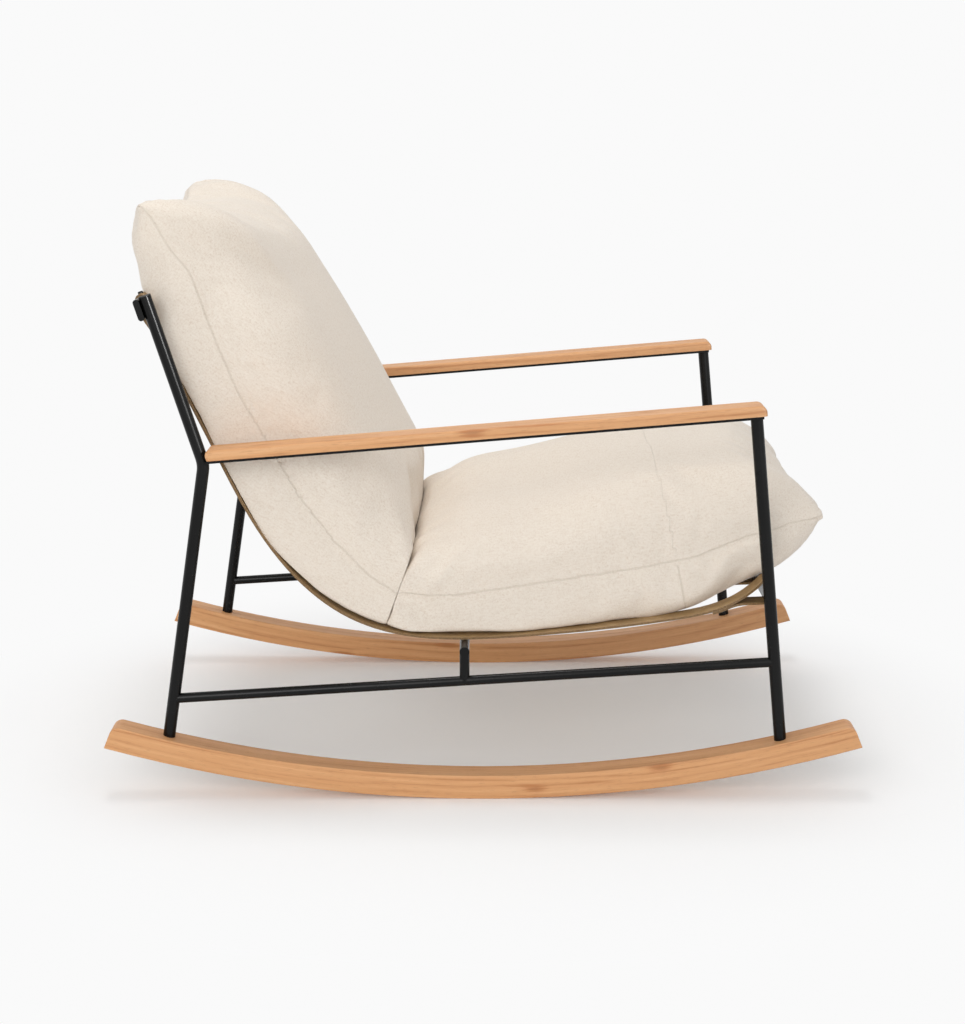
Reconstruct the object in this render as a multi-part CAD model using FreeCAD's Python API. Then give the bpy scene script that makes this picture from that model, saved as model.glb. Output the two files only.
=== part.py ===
import FreeCAD, Part
import math
import os

# Rocking lounge chair: two bent steel side frames on curved oak rockers, oak armrests,
# leather straps hung between two flat crossbars, and two loose pillow cushions.
# Millimetres. Z is up, X points to the front, Y points to the sitter's left.
# The origin is on the floor, midway between the rocker tips and the two side frames.

# Side frames
FRAME_SPACING = 640.0       # between the centre planes of the two side frames
LEG_DIAMETER = 16.0
LEG_WALL = 1.5
REAR_FOOT_X = -413.6        # where the leg's axis meets the top of the rocker
REAR_LOWER_LEAN = 8.7       # degrees forward, from the foot to the bend
REAR_BEND_HEIGHT = 444.4
REAR_RECLINE = 17.6         # degrees backward, above the bend
REAR_UPPER_LENGTH = 225.8
REAR_BEND_RADIUS = 40.0
FRONT_FOOT_X = 391.3
FRONT_LEAN = 5.67           # degrees backward

# Thin tubes: side rails, posts and the crossbar that carries the straps
RAIL_DIAMETER = 13.0
RAIL_WALL = 1.5
RAIL_REAR_HEIGHT = 132.2    # rail axis on the rear leg's axis
RAIL_FRONT_HEIGHT = 181.4   # rail axis on the front leg's axis
POST_X = -24.5

# Flat crossbars with rounded edges
CROSSBAR_HEIGHT = 28.0
CROSSBAR_THICKNESS = 8.0
FRONT_CROSSBAR_TOP = 282.0  # highest point of the front crossbar

# Rockers
ROCKER_RADIUS = 1800.0
ROCKER_LENGTH = 994.0       # between the lower tips
ROCKER_DEPTH = 32.0
ROCKER_WIDTH = 40.0
ROCKER_END_LEAN = 22.0      # degrees, end faces from the vertical
ROCKER_CORNER_RADIUS = 12.0
ROCKER_EDGE_RADIUS = 1.5

# Armrests and the flat bars below them
ARM_SLOPE = 4.65            # degrees, rising to the front
ARM_HEIGHT = 480.8          # underside of the wood above the origin
ARM_WIDTH = 45.0
ARM_THICKNESS = 13.5
ARM_FRONT_X = 360.0
ARM_NOSE_RADIUS = 9.0
ARM_TAIL_RADIUS = 7.0
ARM_EDGE_RADIUS = 4.0
ARM_BAR_WIDTH = 37.0
ARM_BAR_THICKNESS = 4.0
ARM_BAR_SETBACK = 4.0       # front end of the bar behind the front end of the wood

# Straps
STRAP_COUNT = 6
STRAP_WIDTH = 32.0
STRAP_THICKNESS = 3.0
OUTER_STRAP_INSET = 46.0    # outer strap's middle from the side frame's centre plane
STRAP_RISE = 48.0           # degrees, slope of the straps where they reach the front bar
STRAP_LAP_GAP = 0.2         # between a strap and its own folded-back end
REAR_TUCK = 12.0            # degrees a strap bends round the top bar's lower edge
FRONT_TUCK = 92.0           # and round the front bar's lower edge
REAR_LAP_REACH = 60.0       # folded-back end from where the strap leaves the top bar
FRONT_LAP_REACH = 78.0      # and from where it meets the front bar

# Fasteners
RIVET_HEAD_DIAMETER = 12.0
RIVET_SHANK_DIAMETER = 5.0
RIVET_HEAD_HEIGHT = 4.0
RIVET_HEAD_ROUNDING = 1.3
RIVET_FLUSH_HEAD = 1.2
RIVET_TO_STRAP_END = 12.0
STRAP_SCREW_HEAD_DIAMETER = 7.0
STRAP_SCREW_HEAD_HEIGHT = 2.6
STRAP_SCREW_HEAD_ROUNDING = 1.5
STRAP_SCREW_SUNK = 0.4      # head pressed into the strap
STRAP_SCREW_DIAMETER = 4.0
STRAP_SCREW_DEPTH = 14.0
ARM_SCREW_DIAMETER = 4.0
ARM_SCREW_HEAD_DIAMETER = 7.5
ARM_SCREW_BITE = 9.0        # into the wood
ARM_SCREW_X = (-300.0, -100.0, 100.0, 300.0)
BOLT_DIAMETER = 8.0
BOLT_HEAD_DIAMETER = 13.0
BOLT_HEAD_HEIGHT = 8.0
BOLT_SOCKET = 6.0           # across flats
BOLT_RECESS_DIAMETER = 15.0
BOLT_RECESS_DEPTH = 14.0    # from the underside of the rocker, along the leg's axis
BOLT_BITE = 14.0            # thread inside the leg's insert
INSERT_LENGTH = 20.0
PLUG_LENGTH = 12.0
PLUG_DOME = 1.5
PLUG_ROUNDING = 1.0

# Cushions
CUSHION_CLEARANCE = 0.3
CUSHION_HALF_WIDTH = 266.0  # at the seam, half way along; the corners reach further out
COVER_THICKNESS = 6.0       # padded cover round the filled insert
NEIGHBOUR_GAP = 0.6         # between the two cushions
POCKET_MARGIN = 0.8         # round the screw heads that the back cushion rests over

os.makedirs("parts", exist_ok=True)

V = FreeCAD.Vector
HALF = FRAME_SPACING / 2
LEG_R = LEG_DIAMETER / 2
RAIL_R = RAIL_DIAMETER / 2
BAR_R = CROSSBAR_THICKNESS / 2
SIDES = (("right", -1), ("left", 1))
CUT_PAST = 60.0             # how far a cutting block runs past what it cuts
SAME = 1e-6


# Plain helpers in the side view: points are (x, z) pairs

def direction(degrees):
    a = math.radians(degrees)
    return (math.cos(a), math.sin(a))


def along(p, d, length):
    return (p[0] + d[0] * length, p[1] + d[1] * length)


def left_of(d):
    return (-d[1], d[0])


def between(a, b, t):
    return (a[0] + (b[0] - a[0]) * t, a[1] + (b[1] - a[1]) * t)


def distance(a, b):
    return math.hypot(b[0] - a[0], b[1] - a[1])


def crossing(p, d, q, e):
    # point where the line p + t d meets the line q + s e
    det = d[0] * -e[1] + e[0] * d[1]
    t = ((q[0] - p[0]) * -e[1] + e[0] * (q[1] - p[1])) / det
    return along(p, d, t)


def at(p, y=0.0):
    return V(p[0], y, p[1])


def save(name, shape):
    shape.exportStep("parts/" + name + ".step")


def line(a, b, y=0.0):
    return Part.makeLine(at(a, y), at(b, y))


def arc(a, middle, b, y=0.0):
    return Part.Arc(at(a, y), at(middle, y), at(b, y)).toShape()


def spread(edges, y0, y1):
    # a closed side-view outline given width from y0 to y1
    face = Part.Face(Part.Wire(edges))
    face.translate(V(0, y0, 0))
    return face.extrude(V(0, y1 - y0, 0))


def pin(foot, axis, y, diameter, length):
    # round bar in the side view's plane, stood on its foot
    return Part.makeCylinder(diameter / 2, length, at(foot, y), at(axis))


def rod(start, end, y, diameter):
    return pin(start, (end[0] - start[0], end[1] - start[1]), y, diameter, distance(start, end))


def cross_rod(middle, diameter, y0, y1):
    # round bar that runs across the chair
    return Part.makeCylinder(diameter / 2, y1 - y0, at(middle, y0), V(0, 1, 0))


def edges_at(shape, point, within):
    # edges whose middle lies at the point
    return [e for e in shape.Edges if e.CenterOfMass.distanceToPoint(point) < within]


def tube(start, end, y, diameter, wall):
    return rod(start, end, y, diameter).cut(rod(start, end, y, diameter - 2 * wall))


# Rocker: the lower face is an arc about a point high above the origin

ROCKER_CENTRE = (0.0, ROCKER_RADIUS)
ROCKER_TOP_RADIUS = ROCKER_RADIUS - ROCKER_DEPTH


def rocker_top(x):
    return ROCKER_RADIUS - math.sqrt(ROCKER_TOP_RADIUS ** 2 - x ** 2)


def rocker_bottom(x):
    return ROCKER_RADIUS - math.sqrt(ROCKER_RADIUS ** 2 - x ** 2)


def rocker_blank():
    tip_x = ROCKER_LENGTH / 2
    tip = (tip_x, rocker_bottom(tip_x))
    lean = (-math.sin(math.radians(ROCKER_END_LEAN)), math.cos(math.radians(ROCKER_END_LEAN)))
    # the end face is followed inward and up until it meets the upper arc
    low = 0.0
    high = 2 * ROCKER_DEPTH
    for step in range(50):
        middle = (low + high) / 2
        p = along(tip, lean, middle)
        if distance(p, ROCKER_CENTRE) > ROCKER_TOP_RADIUS:
            low = middle
        else:
            high = middle
    top = along(tip, lean, low)
    rear_tip = (-tip[0], tip[1])
    rear_top = (-top[0], top[1])
    outline = [
        arc(rear_tip, (0.0, 0.0), tip),
        line(tip, top),
        arc(top, (0.0, ROCKER_DEPTH), rear_top),
        line(rear_top, rear_tip),
    ]
    blank = spread(outline, -ROCKER_WIDTH / 2, ROCKER_WIDTH / 2)
    corners = []
    for edge in blank.Edges:
        c = edge.CenterOfMass
        straight_across = abs(edge.Length - ROCKER_WIDTH) < SAME
        if straight_across and c.z > tip[1] + ROCKER_DEPTH / 2:
            corners.append(edge)
    blank = blank.makeFillet(ROCKER_CORNER_RADIUS, corners)
    rim = []
    for edge in blank.Edges:
        on_side = abs(abs(edge.CenterOfMass.y) - ROCKER_WIDTH / 2) < SAME
        if on_side and edge.Length > ROCKER_LENGTH / 2:
            rim.append(edge)
    return blank.makeFillet(ROCKER_EDGE_RADIUS, rim)


# Leg axes in the side view

REAR_FOOT = (REAR_FOOT_X, rocker_top(REAR_FOOT_X))
REAR_LOWER = direction(90.0 - REAR_LOWER_LEAN)
REAR_UPPER = direction(90.0 + REAR_RECLINE)
REAR_BEND = crossing(REAR_FOOT, REAR_LOWER, (0.0, REAR_BEND_HEIGHT), (1.0, 0.0))
REAR_TOP = along(REAR_BEND, REAR_UPPER, REAR_UPPER_LENGTH)
FRONT_FOOT = (FRONT_FOOT_X, rocker_top(FRONT_FOOT_X))
FRONT_AXIS = direction(90.0 + FRONT_LEAN)
ARM_AXIS = direction(ARM_SLOPE)
ARM_UP = left_of(ARM_AXIS)
ARM_ORIGIN = (0.0, ARM_HEIGHT)
UPRIGHT = (0.0, 1.0)
BAR_ORIGIN = along(ARM_ORIGIN, ARM_UP, -ARM_BAR_THICKNESS)
FRONT_TOP = crossing(FRONT_FOOT, FRONT_AXIS, BAR_ORIGIN, ARM_AXIS)
BELOW_FOOT = LEG_DIAMETER


def bent_rod(y, radius):
    # the rear leg's outer or inner surface as a solid, run on past the foot
    turn = math.radians(REAR_RECLINE + REAR_LOWER_LEAN)
    set_back = REAR_BEND_RADIUS * math.tan(turn / 2)
    start = along(REAR_FOOT, REAR_LOWER, -BELOW_FOOT)
    a = along(REAR_BEND, REAR_LOWER, -set_back)
    b = along(REAR_BEND, REAR_UPPER, set_back)
    centre = along(a, left_of(REAR_LOWER), REAR_BEND_RADIUS)
    to_bend = (REAR_BEND[0] - centre[0], REAR_BEND[1] - centre[1])
    reach = math.hypot(to_bend[0], to_bend[1])
    middle = along(centre, (to_bend[0] / reach, to_bend[1] / reach), REAR_BEND_RADIUS)
    path = Part.Wire([line(start, a, y), arc(a, middle, b, y), line(b, REAR_TOP, y)])
    ring = Part.Wire(Part.makeCircle(radius, at(start, y), V(REAR_LOWER[0], 0, REAR_LOWER[1])))
    return path.makePipeShell([ring], True, False)


def rocker_block(y):
    # everything below the rocker's top face, for shaping the feet
    drum = cross_rod(ROCKER_CENTRE, 2 * ROCKER_TOP_RADIUS, y - CUT_PAST, y + CUT_PAST)
    tall = rocker_top(ROCKER_LENGTH / 2) + 2 * CUT_PAST
    slab = Part.makeBox(ROCKER_LENGTH, 2 * CUT_PAST, tall,
                        V(-ROCKER_LENGTH / 2, y - CUT_PAST, -CUT_PAST))
    return slab.cut(drum)


def rear_leg(y):
    leg = bent_rod(y, LEG_R).cut(bent_rod(y, LEG_R - LEG_WALL))
    return leg.cut(rocker_block(y))


def front_leg(y):
    start = along(FRONT_FOOT, FRONT_AXIS, -BELOW_FOOT)
    end = along(FRONT_TOP, FRONT_AXIS, LEG_DIAMETER)
    leg = tube(start, end, y, LEG_DIAMETER, LEG_WALL)
    leg = leg.cut(rocker_block(y))
    return leg.cut(block(FRONT_TOP, ARM_AXIS, CUT_PAST, CUT_PAST, y, CUT_PAST))


def block(corner, axis, behind, height, y, half_width):
    # a block round a point on its underside, as long before the point as behind it
    a = along(corner, axis, -behind)
    b = along(corner, axis, behind)
    c = along(b, left_of(axis), height)
    d = along(a, left_of(axis), height)
    return spread([line(a, b), line(b, c), line(c, d), line(d, a)], y - half_width, y + half_width)


# Thin rails and posts

RAIL_REAR = crossing(REAR_FOOT, REAR_LOWER, (0.0, RAIL_REAR_HEIGHT), (1.0, 0.0))
RAIL_FRONT = crossing(FRONT_FOOT, FRONT_AXIS, (0.0, RAIL_FRONT_HEIGHT), (1.0, 0.0))


def side_rail(y):
    rail = tube(RAIL_REAR, RAIL_FRONT, y, RAIL_DIAMETER, RAIL_WALL)
    rail = rail.cut(bent_rod(y, LEG_R))
    far = along(FRONT_TOP, FRONT_AXIS, LEG_R)
    return rail.cut(rod(FRONT_FOOT, far, y, LEG_DIAMETER))


# Crossbars: a flat bar whose long edges are full rounds

TOP_BAR_MIDDLE = along(along(REAR_TOP, REAR_UPPER, -CROSSBAR_HEIGHT / 2),
                       left_of(REAR_UPPER), LEG_R + BAR_R)
TOP_BAR_UP = REAR_UPPER
FRONT_BAR_DROP = (CROSSBAR_HEIGHT / 2 - BAR_R) * FRONT_AXIS[1] + BAR_R
FRONT_BAR_MIDDLE = crossing(FRONT_FOOT, FRONT_AXIS,
                            (0.0, FRONT_CROSSBAR_TOP - FRONT_BAR_DROP), (1.0, 0.0))
FRONT_BAR_UP = FRONT_AXIS


def flat_bar(middle, up, y0, y1, grow=0.0):
    r = BAR_R + grow
    back = left_of(up)
    reach = CROSSBAR_HEIGHT / 2 - BAR_R
    high = along(middle, up, reach)
    low = along(middle, up, -reach)
    outline = [
        line(along(low, back, -r), along(high, back, -r)),
        arc(along(high, back, -r), along(high, up, r), along(high, back, r)),
        line(along(high, back, r), along(low, back, r)),
        arc(along(low, back, r), along(low, up, -r), along(low, back, -r)),
    ]
    return spread(outline, y0, y1)


# Strap centre line, from the lap behind the top bar to the lap under the front bar

HALF_T = STRAP_THICKNESS / 2
WRAP_R = BAR_R + HALF_T
REACH = CROSSBAR_HEIGHT / 2 - BAR_R
TOP_BACK = left_of(TOP_BAR_UP)
TOP_BAR_HIGH = along(TOP_BAR_MIDDLE, TOP_BAR_UP, REACH)
TOP_BAR_LOW = along(TOP_BAR_MIDDLE, TOP_BAR_UP, -REACH)
TAKE_OFF = along(TOP_BAR_LOW, TOP_BACK, -WRAP_R)
FRONT_BACK = left_of(FRONT_BAR_UP)
FRONT_BAR_HIGH = along(FRONT_BAR_MIDDLE, FRONT_BAR_UP, REACH)
FRONT_BAR_LOW = along(FRONT_BAR_MIDDLE, FRONT_BAR_UP, -REACH)
RISE = direction(STRAP_RISE)
LANDING = along(FRONT_BAR_HIGH, left_of(RISE), WRAP_R)

# The hanging curve between the two bars: how far along the chord from take-off to
# landing, and how far below it, both as shares of the chord's length
HANG = (
    (0.155, 0.1420),
    (0.250, 0.2206),
    (0.350, 0.2798),
    (0.450, 0.3048),
    (0.550, 0.2927),
    (0.660, 0.2469),
    (0.780, 0.1817),
    (0.900, 0.1089),
    (0.965, 0.0585),
)
HANG_SAMPLES = 60
LAP_SAMPLES = 16
LAP_STEPS = 4


def hanging_curve():
    chord = distance(TAKE_OFF, LANDING)
    d = ((LANDING[0] - TAKE_OFF[0]) / chord, (LANDING[1] - TAKE_OFF[1]) / chord)
    below = (-left_of(d)[0], -left_of(d)[1])
    points = [at(TAKE_OFF)]
    for u, v in HANG:
        points.append(at(along(along(TAKE_OFF, d, u * chord), below, v * chord)))
    points.append(at(LANDING))
    return points


def interpolated(points, first, last):
    # smooth curve through the points with given end directions
    curve = Part.BSplineCurve()
    curve.interpolate(Points=points, InitialTangent=at(first), FinalTangent=at(last))
    return curve


HANGING = interpolated(hanging_curve(), (-TOP_BAR_UP[0], -TOP_BAR_UP[1]), RISE)
HANGING_LENGTH = HANGING.length()


def on_strap(length, offset=0.0):
    # point at a length from the take-off, offset to the sitter's side of the centre line
    t = HANGING.parameterAtDistance(length, HANGING.FirstParameter)
    p = HANGING.value(t)
    d = HANGING.tangent(t)[0]
    return (p.x - d.z * offset, p.z + d.x * offset)


def strap_direction(length):
    d = HANGING.tangent(HANGING.parameterAtDistance(length, HANGING.FirstParameter))[0]
    return (d.x, d.z)


def strap_length_at(x):
    # length from the take-off to where the centre line passes over x
    low = 0.0
    high = HANGING_LENGTH
    for step in range(50):
        middle = (low + high) / 2
        if on_strap(middle)[0] < x:
            low = middle
        else:
            high = middle
    return low


LAP = STRAP_THICKNESS + STRAP_LAP_GAP
REAR_LAP_END = REAR_LAP_REACH
REAR_LAP_START = REAR_LAP_END - 2 * RIVET_TO_STRAP_END
REAR_RIVET = REAR_LAP_END - RIVET_TO_STRAP_END
FRONT_LAP_END = HANGING_LENGTH - FRONT_LAP_REACH
FRONT_LAP_START = FRONT_LAP_END + 2 * RIVET_TO_STRAP_END
FRONT_RIVET = FRONT_LAP_END + RIVET_TO_STRAP_END


def lap_curve(start, heading, lap_start, lap_end):
    # from the bar to the lap, then along the strap's back
    points = [at(start)]
    for step in range(LAP_STEPS + 1):
        share = step / LAP_STEPS
        points.append(at(on_strap(lap_start + (lap_end - lap_start) * share, -LAP)))
    sign = 1 if lap_end > lap_start else -1
    d = strap_direction(lap_end)
    return interpolated(points, heading, (d[0] * sign, d[1] * sign))


def sampled(curve, count, offset):
    result = []
    first = curve.FirstParameter
    span = curve.LastParameter - first
    for i in range(count + 1):
        t = first + span * i / count
        p = curve.value(t)
        d = curve.tangent(t)[0]
        result.append(V(p.x - d.z * offset, 0, p.z + d.x * offset))
    ends = (curve.tangent(first)[0], curve.tangent(curve.LastParameter)[0])
    offset_curve = Part.BSplineCurve()
    offset_curve.interpolate(Points=result, InitialTangent=ends[0], FinalTangent=ends[1])
    return offset_curve.toShape()


def turned(d, degrees):
    a = math.radians(degrees)
    return (d[0] * math.cos(a) - d[1] * math.sin(a), d[0] * math.sin(a) + d[1] * math.cos(a))


# The rear end: down the back of the top bar, round its lower edge towards the lap
REAR_DOWN = (-TOP_BAR_UP[0], -TOP_BAR_UP[1])
REAR_FLAP_START = along(TOP_BAR_LOW, turned(TOP_BACK, REAR_TUCK), WRAP_R)
REAR_FLAP_HEADING = turned(REAR_DOWN, REAR_TUCK)
# The front end: down the front of the bar, round its lower edge, back under the seat
FRONT_DOWN = (-FRONT_BAR_UP[0], -FRONT_BAR_UP[1])
FRONT_FORWARD = (-FRONT_BACK[0], -FRONT_BACK[1])
FRONT_FLAP_START = along(FRONT_BAR_LOW, turned(FRONT_FORWARD, -FRONT_TUCK), WRAP_R)
FRONT_FLAP_HEADING = turned(FRONT_DOWN, -FRONT_TUCK)


def strap_side(side):
    # one face of the strap: side is +1 for the sitter's face, -1 for the back
    o = side * HALF_T
    r = WRAP_R + o
    edges = []
    rear_flap = lap_curve(REAR_FLAP_START, REAR_FLAP_HEADING, REAR_LAP_START, REAR_LAP_END)
    edges.append(sampled(rear_flap, LAP_SAMPLES, -o))
    a = along(TOP_BAR_LOW, turned(TOP_BACK, REAR_TUCK), r)
    b = along(TOP_BAR_LOW, turned(TOP_BACK, REAR_TUCK / 2), r)
    c = along(TOP_BAR_LOW, TOP_BACK, r)
    edges.append(arc(a, b, c))
    d = along(TOP_BAR_HIGH, TOP_BACK, r)
    edges.append(line(c, d))
    e = along(TOP_BAR_HIGH, TOP_BAR_UP, r)
    f = along(TOP_BAR_HIGH, TOP_BACK, -r)
    edges.append(arc(d, e, f))
    g = along(TOP_BAR_LOW, TOP_BACK, -r)
    edges.append(line(f, g))
    edges.append(sampled(HANGING, HANG_SAMPLES, o))
    h = along(FRONT_BAR_HIGH, left_of(RISE), r)
    i = along(FRONT_BAR_HIGH, turned(left_of(RISE), -(90 + STRAP_RISE - FRONT_LEAN) / 2), r)
    j = along(FRONT_BAR_HIGH, FRONT_FORWARD, r)
    edges.append(arc(h, i, j))
    k = along(FRONT_BAR_LOW, FRONT_FORWARD, r)
    edges.append(line(j, k))
    m = along(FRONT_BAR_LOW, turned(FRONT_FORWARD, -FRONT_TUCK / 2), r)
    n = along(FRONT_BAR_LOW, turned(FRONT_FORWARD, -FRONT_TUCK), r)
    edges.append(arc(k, m, n))
    front_flap = lap_curve(FRONT_FLAP_START, FRONT_FLAP_HEADING, FRONT_LAP_START, FRONT_LAP_END)
    edges.append(sampled(front_flap, LAP_SAMPLES, o))
    return edges


def ends_of(edge):
    return edge.Vertexes[0].Point, edge.Vertexes[-1].Point


def strap_blank(y):
    sitter = strap_side(1)
    back = strap_side(-1)
    caps = []
    for index in (0, -1):
        # the free ends are the lap ends of the two flap curves
        a = ends_of(sitter[index])[1]
        b = ends_of(back[index])[1]
        caps.append(Part.makeLine(a, b))
    wire = Part.Wire(Part.__sortEdges__(sitter + back + caps))
    face = Part.Face(wire)
    face.translate(V(0, y - STRAP_WIDTH / 2, 0))
    return face.extrude(V(0, STRAP_WIDTH, 0))


STRAP_SPAN = FRAME_SPACING - 2 * OUTER_STRAP_INSET


def strap_y(index):
    # the first strap is on the sitter's right
    return -STRAP_SPAN / 2 + STRAP_SPAN * index / (STRAP_COUNT - 1)


def along_normal(length, offset, height, diameter, y):
    # upright cylinder on the strap, its foot at an offset from the centre line
    return pin(on_strap(length, offset), left_of(strap_direction(length)), y, diameter, height)


def rivet(length, y):
    # flush head in the sitter's face, shank, taller head below the lap
    lap_back = -(HALF_T + LAP)
    flush = along_normal(length, HALF_T - RIVET_FLUSH_HEAD, RIVET_FLUSH_HEAD,
                         RIVET_HEAD_DIAMETER, y)
    shank = along_normal(length, lap_back, HALF_T - lap_back, RIVET_SHANK_DIAMETER, y)
    head = along_normal(length, lap_back - RIVET_HEAD_HEIGHT, RIVET_HEAD_HEIGHT,
                        RIVET_HEAD_DIAMETER, y)
    low = at(on_strap(length, lap_back - RIVET_HEAD_HEIGHT), y)
    head = head.makeFillet(RIVET_HEAD_ROUNDING, edges_at(head, low, RIVET_FLUSH_HEAD))
    return flush.fuse([shank, head]).removeSplitter()


# where the screw heads bear on the straps, over the top bar's upper edge
SCREW_SEAT = along(TOP_BAR_HIGH, TOP_BAR_UP, BAR_R + STRAP_THICKNESS)


def strap_screw(y):
    # round-headed screw through the strap into the top edge of the top bar
    tip = along(SCREW_SEAT, TOP_BAR_UP, -(STRAP_THICKNESS + STRAP_SCREW_DEPTH))
    low = along(SCREW_SEAT, TOP_BAR_UP, -STRAP_SCREW_SUNK)
    top = along(SCREW_SEAT, TOP_BAR_UP, STRAP_SCREW_HEAD_HEIGHT)
    head = rod(low, top, y, STRAP_SCREW_HEAD_DIAMETER)
    head = head.makeFillet(STRAP_SCREW_HEAD_ROUNDING, edges_at(head, at(top, y), STRAP_SCREW_SUNK))
    return head.fuse(rod(tip, SCREW_SEAT, y, STRAP_SCREW_DIAMETER)).removeSplitter()


# Mid crossbar: the straps rest on it where it passes below them

POST_UNDER_STRAP = on_strap(strap_length_at(POST_X), -HALF_T)
MID_BAR = (POST_X, POST_UNDER_STRAP[1] - RAIL_R)


def mid_crossbar():
    # a tube closed at both ends
    reach = HALF + RAIL_R
    inner = reach - RAIL_WALL
    bore = cross_rod(MID_BAR, RAIL_DIAMETER - 2 * RAIL_WALL, -inner, inner)
    return cross_rod(MID_BAR, RAIL_DIAMETER, -reach, reach).cut(bore)


def post(y):
    rail_axis = ((RAIL_FRONT[0] - RAIL_REAR[0]), (RAIL_FRONT[1] - RAIL_REAR[1]))
    foot = crossing((POST_X, 0.0), (0.0, 1.0), RAIL_REAR, rail_axis)
    body = tube(foot, MID_BAR, y, RAIL_DIAMETER, RAIL_WALL)
    body = body.cut(rod(RAIL_REAR, RAIL_FRONT, y, RAIL_DIAMETER))
    return body.cut(cross_rod(MID_BAR, RAIL_DIAMETER, -HALF - CUT_PAST, HALF + CUT_PAST))


# Armrests

def arm_screws(y):
    # countersunk screws through the bar into the wood
    screws = []
    cone = (ARM_SCREW_HEAD_DIAMETER - ARM_SCREW_DIAMETER) / 2
    for x in ARM_SCREW_X:
        foot = crossing(BAR_ORIGIN, ARM_AXIS, (x, 0.0), UPRIGHT)
        head = Part.makeCone(ARM_SCREW_HEAD_DIAMETER / 2, ARM_SCREW_DIAMETER / 2, cone,
                             at(foot, y), at(ARM_UP))
        shank = pin(foot, ARM_UP, y, ARM_SCREW_DIAMETER, ARM_BAR_THICKNESS + ARM_SCREW_BITE)
        screws.append(head.fuse(shank).removeSplitter())
    return screws


# The armrest starts at the front of the rear leg
ARM_REAR_SIDE = along(REAR_BEND, left_of(REAR_UPPER), -LEG_R)


def armrest(y):
    a = crossing(ARM_ORIGIN, ARM_AXIS, ARM_REAR_SIDE, REAR_UPPER)
    b = crossing(ARM_ORIGIN, ARM_AXIS, (ARM_FRONT_X, 0.0), UPRIGHT)
    c = along(b, ARM_UP, ARM_THICKNESS)
    d = crossing(c, ARM_AXIS, ARM_REAR_SIDE, REAR_UPPER)
    body = spread([line(a, b), line(b, c), line(c, d), line(d, a)],
                  y - ARM_WIDTH / 2, y + ARM_WIDTH / 2)
    body = body.makeFillet(ARM_NOSE_RADIUS, edges_at(body, at(c, y), SAME))
    body = body.makeFillet(ARM_TAIL_RADIUS, edges_at(body, at(d, y), SAME))
    upper = []
    for edge in body.Edges:
        p = edge.CenterOfMass
        on_side = abs(abs(p.y - y) - ARM_WIDTH / 2) < SAME
        height = (p.x - ARM_ORIGIN[0]) * ARM_UP[0] + (p.z - ARM_ORIGIN[1]) * ARM_UP[1]
        if on_side and height > ARM_THICKNESS / 2:
            upper.append(edge)
    body = body.makeFillet(ARM_EDGE_RADIUS, upper)
    return body.cut(arm_screws(y))


def arm_bar(y):
    drop = ARM_BAR_THICKNESS
    a = crossing(BAR_ORIGIN, ARM_AXIS, REAR_BEND, REAR_UPPER)
    b = crossing(BAR_ORIGIN, ARM_AXIS, (ARM_FRONT_X - ARM_BAR_SETBACK, 0.0), UPRIGHT)
    c = along(b, ARM_UP, drop)
    d = along(a, ARM_UP, drop)
    body = spread([line(a, b), line(b, c), line(c, d), line(d, a)],
                  y - ARM_BAR_WIDTH / 2, y + ARM_BAR_WIDTH / 2)
    # the rear end stops at the front of the leg
    behind = block(ARM_REAR_SIDE, REAR_UPPER, CUT_PAST, CUT_PAST, y, CUT_PAST)
    return body.cut([behind, bent_rod(y, LEG_R)] + arm_screws(y))


# Fixings between legs and rockers

FEET = ((REAR_FOOT, REAR_LOWER), (FRONT_FOOT, FRONT_AXIS))
LEG_INSIDE = LEG_DIAMETER - 2 * LEG_WALL
HEXAGON = 6


def recess_seat(foot, axis):
    # where the bolt head bears: up the leg's axis from the rocker's underside
    under = foot
    for step in range(20):
        gap = ROCKER_RADIUS - distance(under, ROCKER_CENTRE)
        under = along(under, axis, -gap)
    return along(under, axis, BOLT_RECESS_DEPTH)


def bolt(foot, axis, y):
    seat = recess_seat(foot, axis)
    low = along(seat, axis, -BOLT_HEAD_HEIGHT)
    shank = pin(seat, axis, y, BOLT_DIAMETER, distance(seat, foot) + BOLT_BITE)
    head = pin(low, axis, y, BOLT_HEAD_DIAMETER, BOLT_HEAD_HEIGHT)
    corner_reach = BOLT_SOCKET / math.sqrt(3)
    corners = []
    for number in range(HEXAGON + 1):
        turn = direction(number * 360.0 / HEXAGON)
        corner = along(low, left_of(axis), corner_reach * turn[0])
        corners.append(at(corner, y + corner_reach * turn[1]))
    socket = Part.Face(Part.makePolygon(corners)).extrude(at(axis) * (BOLT_HEAD_HEIGHT / 2))
    return head.cut(socket).fuse(shank).removeSplitter()


def bolt_recess(foot, axis, y):
    seat = recess_seat(foot, axis)
    recess = rod(along(seat, axis, -CUT_PAST), seat, y, BOLT_RECESS_DIAMETER)
    return recess.fuse(pin(seat, axis, y, BOLT_DIAMETER, CUT_PAST))


def leg_insert(foot, axis, y):
    # threaded sleeve welded inside the foot of the leg
    below = along(foot, axis, -BELOW_FOOT)
    above = along(foot, axis, INSERT_LENGTH)
    sleeve = tube(below, above, y, LEG_INSIDE, (LEG_INSIDE - BOLT_DIAMETER) / 2)
    return sleeve.cut(rocker_block(y))


def leg_plug(y):
    inner = rod(along(REAR_TOP, REAR_UPPER, -PLUG_LENGTH), REAR_TOP, y, LEG_INSIDE)
    top = along(REAR_TOP, REAR_UPPER, PLUG_DOME)
    lid = rod(REAR_TOP, top, y, LEG_DIAMETER)
    lid = lid.makeFillet(PLUG_ROUNDING, edges_at(lid, at(top, y), SAME))
    return inner.fuse(lid).removeSplitter()


# Cushions: closed forms lofted through sections that stand across the straps

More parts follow.
